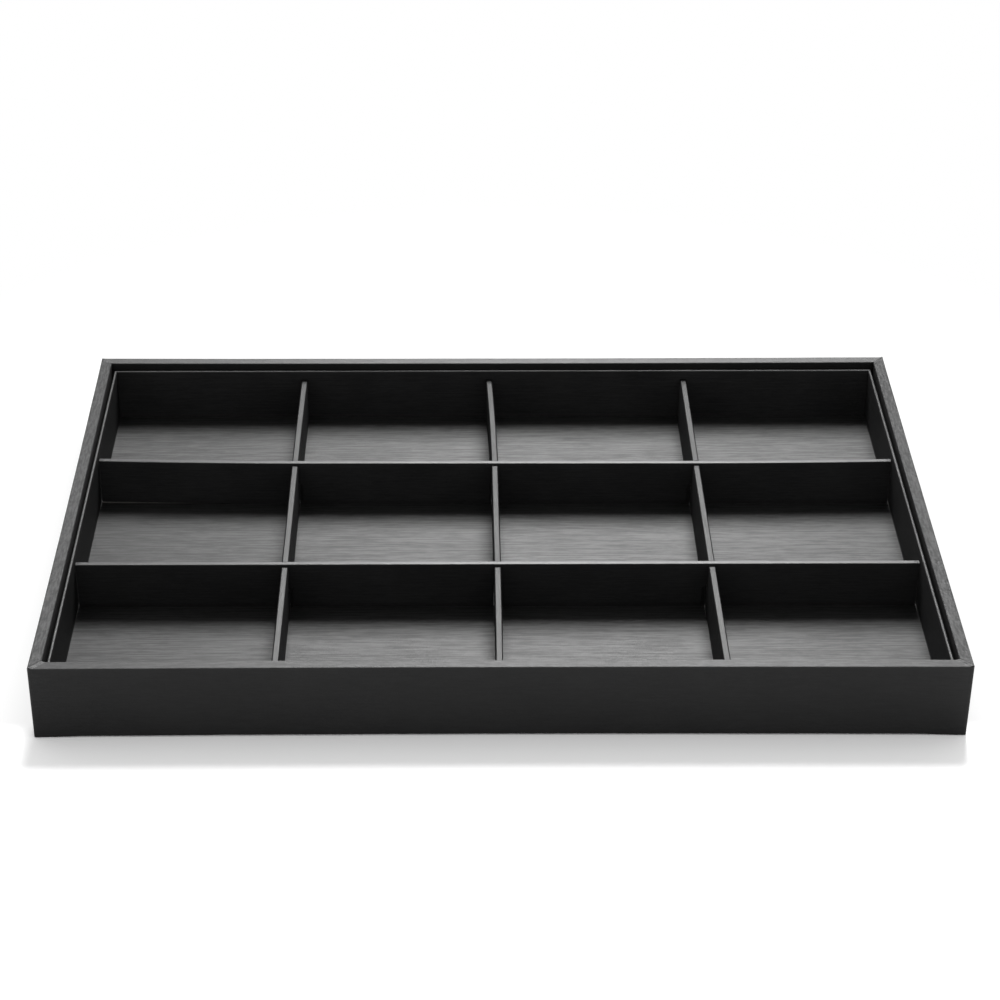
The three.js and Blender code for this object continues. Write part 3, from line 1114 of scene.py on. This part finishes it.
# The two long dividers are made the same way and slotted from below. They drop over the cross
# dividers, stand a millimetre higher and lean forwards a little. The back one's free ends curl towards
# the back of the tray, and its cover is cut a little short at the left.
long_values = {
    **cross_values,
    "Length": front_high[0] - front_low[0],
    "Slot pitch": column_pitch,
    "Slot width": divider_thickness + 2 * slot_clearance,
    "Slot bottom": floor_level - overrun,
    "Slot height": lap_level + lap_clearance / 2 - floor_level + overrun,
    "Curl from": column_pitch,
    "Top": front_high[2],
    "Foot share": 0.2,
    "Stations": 141,
    "Slots": 3,
}
long_bends = {
    "front": {
        "Turn": 0.0,
        "Start curl": 0.0,
        "End curl": 0.0,
        "Tilt": -0.35 * mm,
        "Seed": 41.0,
    },
    "back": {
        "Turn": -0.5 * mm,
        "Start curl": 2.1 * mm,
        "End curl": 1.4 * mm,
        "Tilt": -0.35 * mm,
        "Cut short": 0.95 * mm,
        "Seed": 44.0,
    },
}
long_middles = {
    "front": (front_low[1] + front_high[1]) / 2,
    "back": (back_low[1] + back_high[1]) / 2,
}
for name, bends in long_bends.items():
    place = Matrix.Translation((0, long_middles[name], 0))
    add_divider(f"{name}_long_divider", False, long_values, bends, place, f"{name}_long_divider")


# The tray stands on a plain white table that reaches past the edge of the picture. The table shows
# white, keeps the tray's soft shadow near it, and a white room lights both from every side.
table_size = 8.0
fade_start = 0.7 * tray_length
fade_end = tray_length
front_band = 10 * mm
table_grey = (0.62, 0.62, 0.62, 1)
front_white = (2.45, 2.45, 2.45, 1)
shade_grey = (0.22, 0.22, 0.22, 1)
plain_white = (1, 1, 1, 1)
pale_glow = 0.80

table_mesh = bpy.data.meshes.new("table")
half_table = table_size / 2
table_corners = [
    (-half_table, -half_table, 0),
    (half_table, -half_table, 0),
    (half_table, half_table, 0),
    (-half_table, half_table, 0),
]
table_mesh.from_pydata(table_corners, [], [(0, 1, 2, 3)])
table = bpy.data.objects.new("table", table_mesh)
bpy.context.scene.collection.objects.link(table)
table_white = bpy.data.materials.new("table_white")
table_white.use_nodes = True
table_tree = table_white.node_tree
table_tree.nodes.clear()
paint = Wire(table_tree, None)
seen = paint.add("ShaderNodeLightPath", output="Is Camera Ray")
matt = paint.add("ShaderNodeBsdfDiffuse", None, {"Color": table_grey})
front_of_table = paint.add("ShaderNodeBsdfDiffuse", None, {"Color": front_white})
faint_shade = paint.add("ShaderNodeBsdfDiffuse", None, {"Color": shade_grey})
pale = paint.add("ShaderNodeEmission", None, {"Color": plain_white, "Strength": pale_glow})
white = paint.add("ShaderNodeEmission", None, {"Color": plain_white, "Strength": 1.0})
rest_of_table = paint.add("ShaderNodeAddShader", None, [faint_shade, pale])
x, y = paint.add("ShaderNodeTexCoord", output="Object").parts()[:2]
behind_front = y.eased(-tray_depth / 2, -tray_depth / 2 + front_band)
near_table = paint.add("ShaderNodeMixShader", None, [behind_front, front_of_table, rest_of_table])
far = (x * x + y * y).eased(fade_start ** 2, fade_end ** 2)
shown_table = paint.add("ShaderNodeMixShader", None, [far, near_table, white])
either = paint.add("ShaderNodeMixShader", None, [seen, matt, shown_table])
leave = table_tree.nodes.new("ShaderNodeOutputMaterial")
table_tree.links.new(either.socket, leave.inputs["Surface"])
table_mesh.materials.append(table_white)

world = bpy.data.worlds.new("white_room")
bpy.context.scene.world = world
world.use_nodes = True
room_tree = world.node_tree
room_tree.nodes.clear()
room = Wire(room_tree, None)
path = room.add("ShaderNodeLightPath", output="Is Camera Ray")
fill_strength = 0.36
strength = path * (1 - fill_strength) + fill_strength
background = room.add("ShaderNodeBackground", None, {"Color": plain_white, "Strength": strength})
leave = room_tree.nodes.new("ShaderNodeOutputWorld")
room_tree.links.new(background.socket, leave.inputs["Surface"])

# One wide soft light hangs behind the tray and above it, so its sheen shows on what faces up.
softbox_width = 0.56
softbox_height = 0.60
softbox_watts = 15.4
softbox_elevation = math.radians(53.5)
softbox_side = math.radians(7.7)
softbox_distance = 1.1

softbox_data = bpy.data.lights.new("softbox", "AREA")
softbox_data.shape = "ELLIPSE"
softbox_data.size = softbox_width
softbox_data.size_y = softbox_height
softbox_data.energy = softbox_watts
softbox = bpy.data.objects.new("softbox", softbox_data)
bpy.context.scene.collection.objects.link(softbox)
softbox_place = softbox_distance * Vector((
    math.cos(softbox_elevation) * math.sin(softbox_side),
    math.cos(softbox_elevation) * math.cos(softbox_side),
    math.sin(softbox_elevation),
))
softbox.location = softbox_place
softbox.rotation_euler = (-softbox_place).to_track_quat("-Z", "Y").to_euler()

bpy.context.scene.view_settings.view_transform = "Standard"
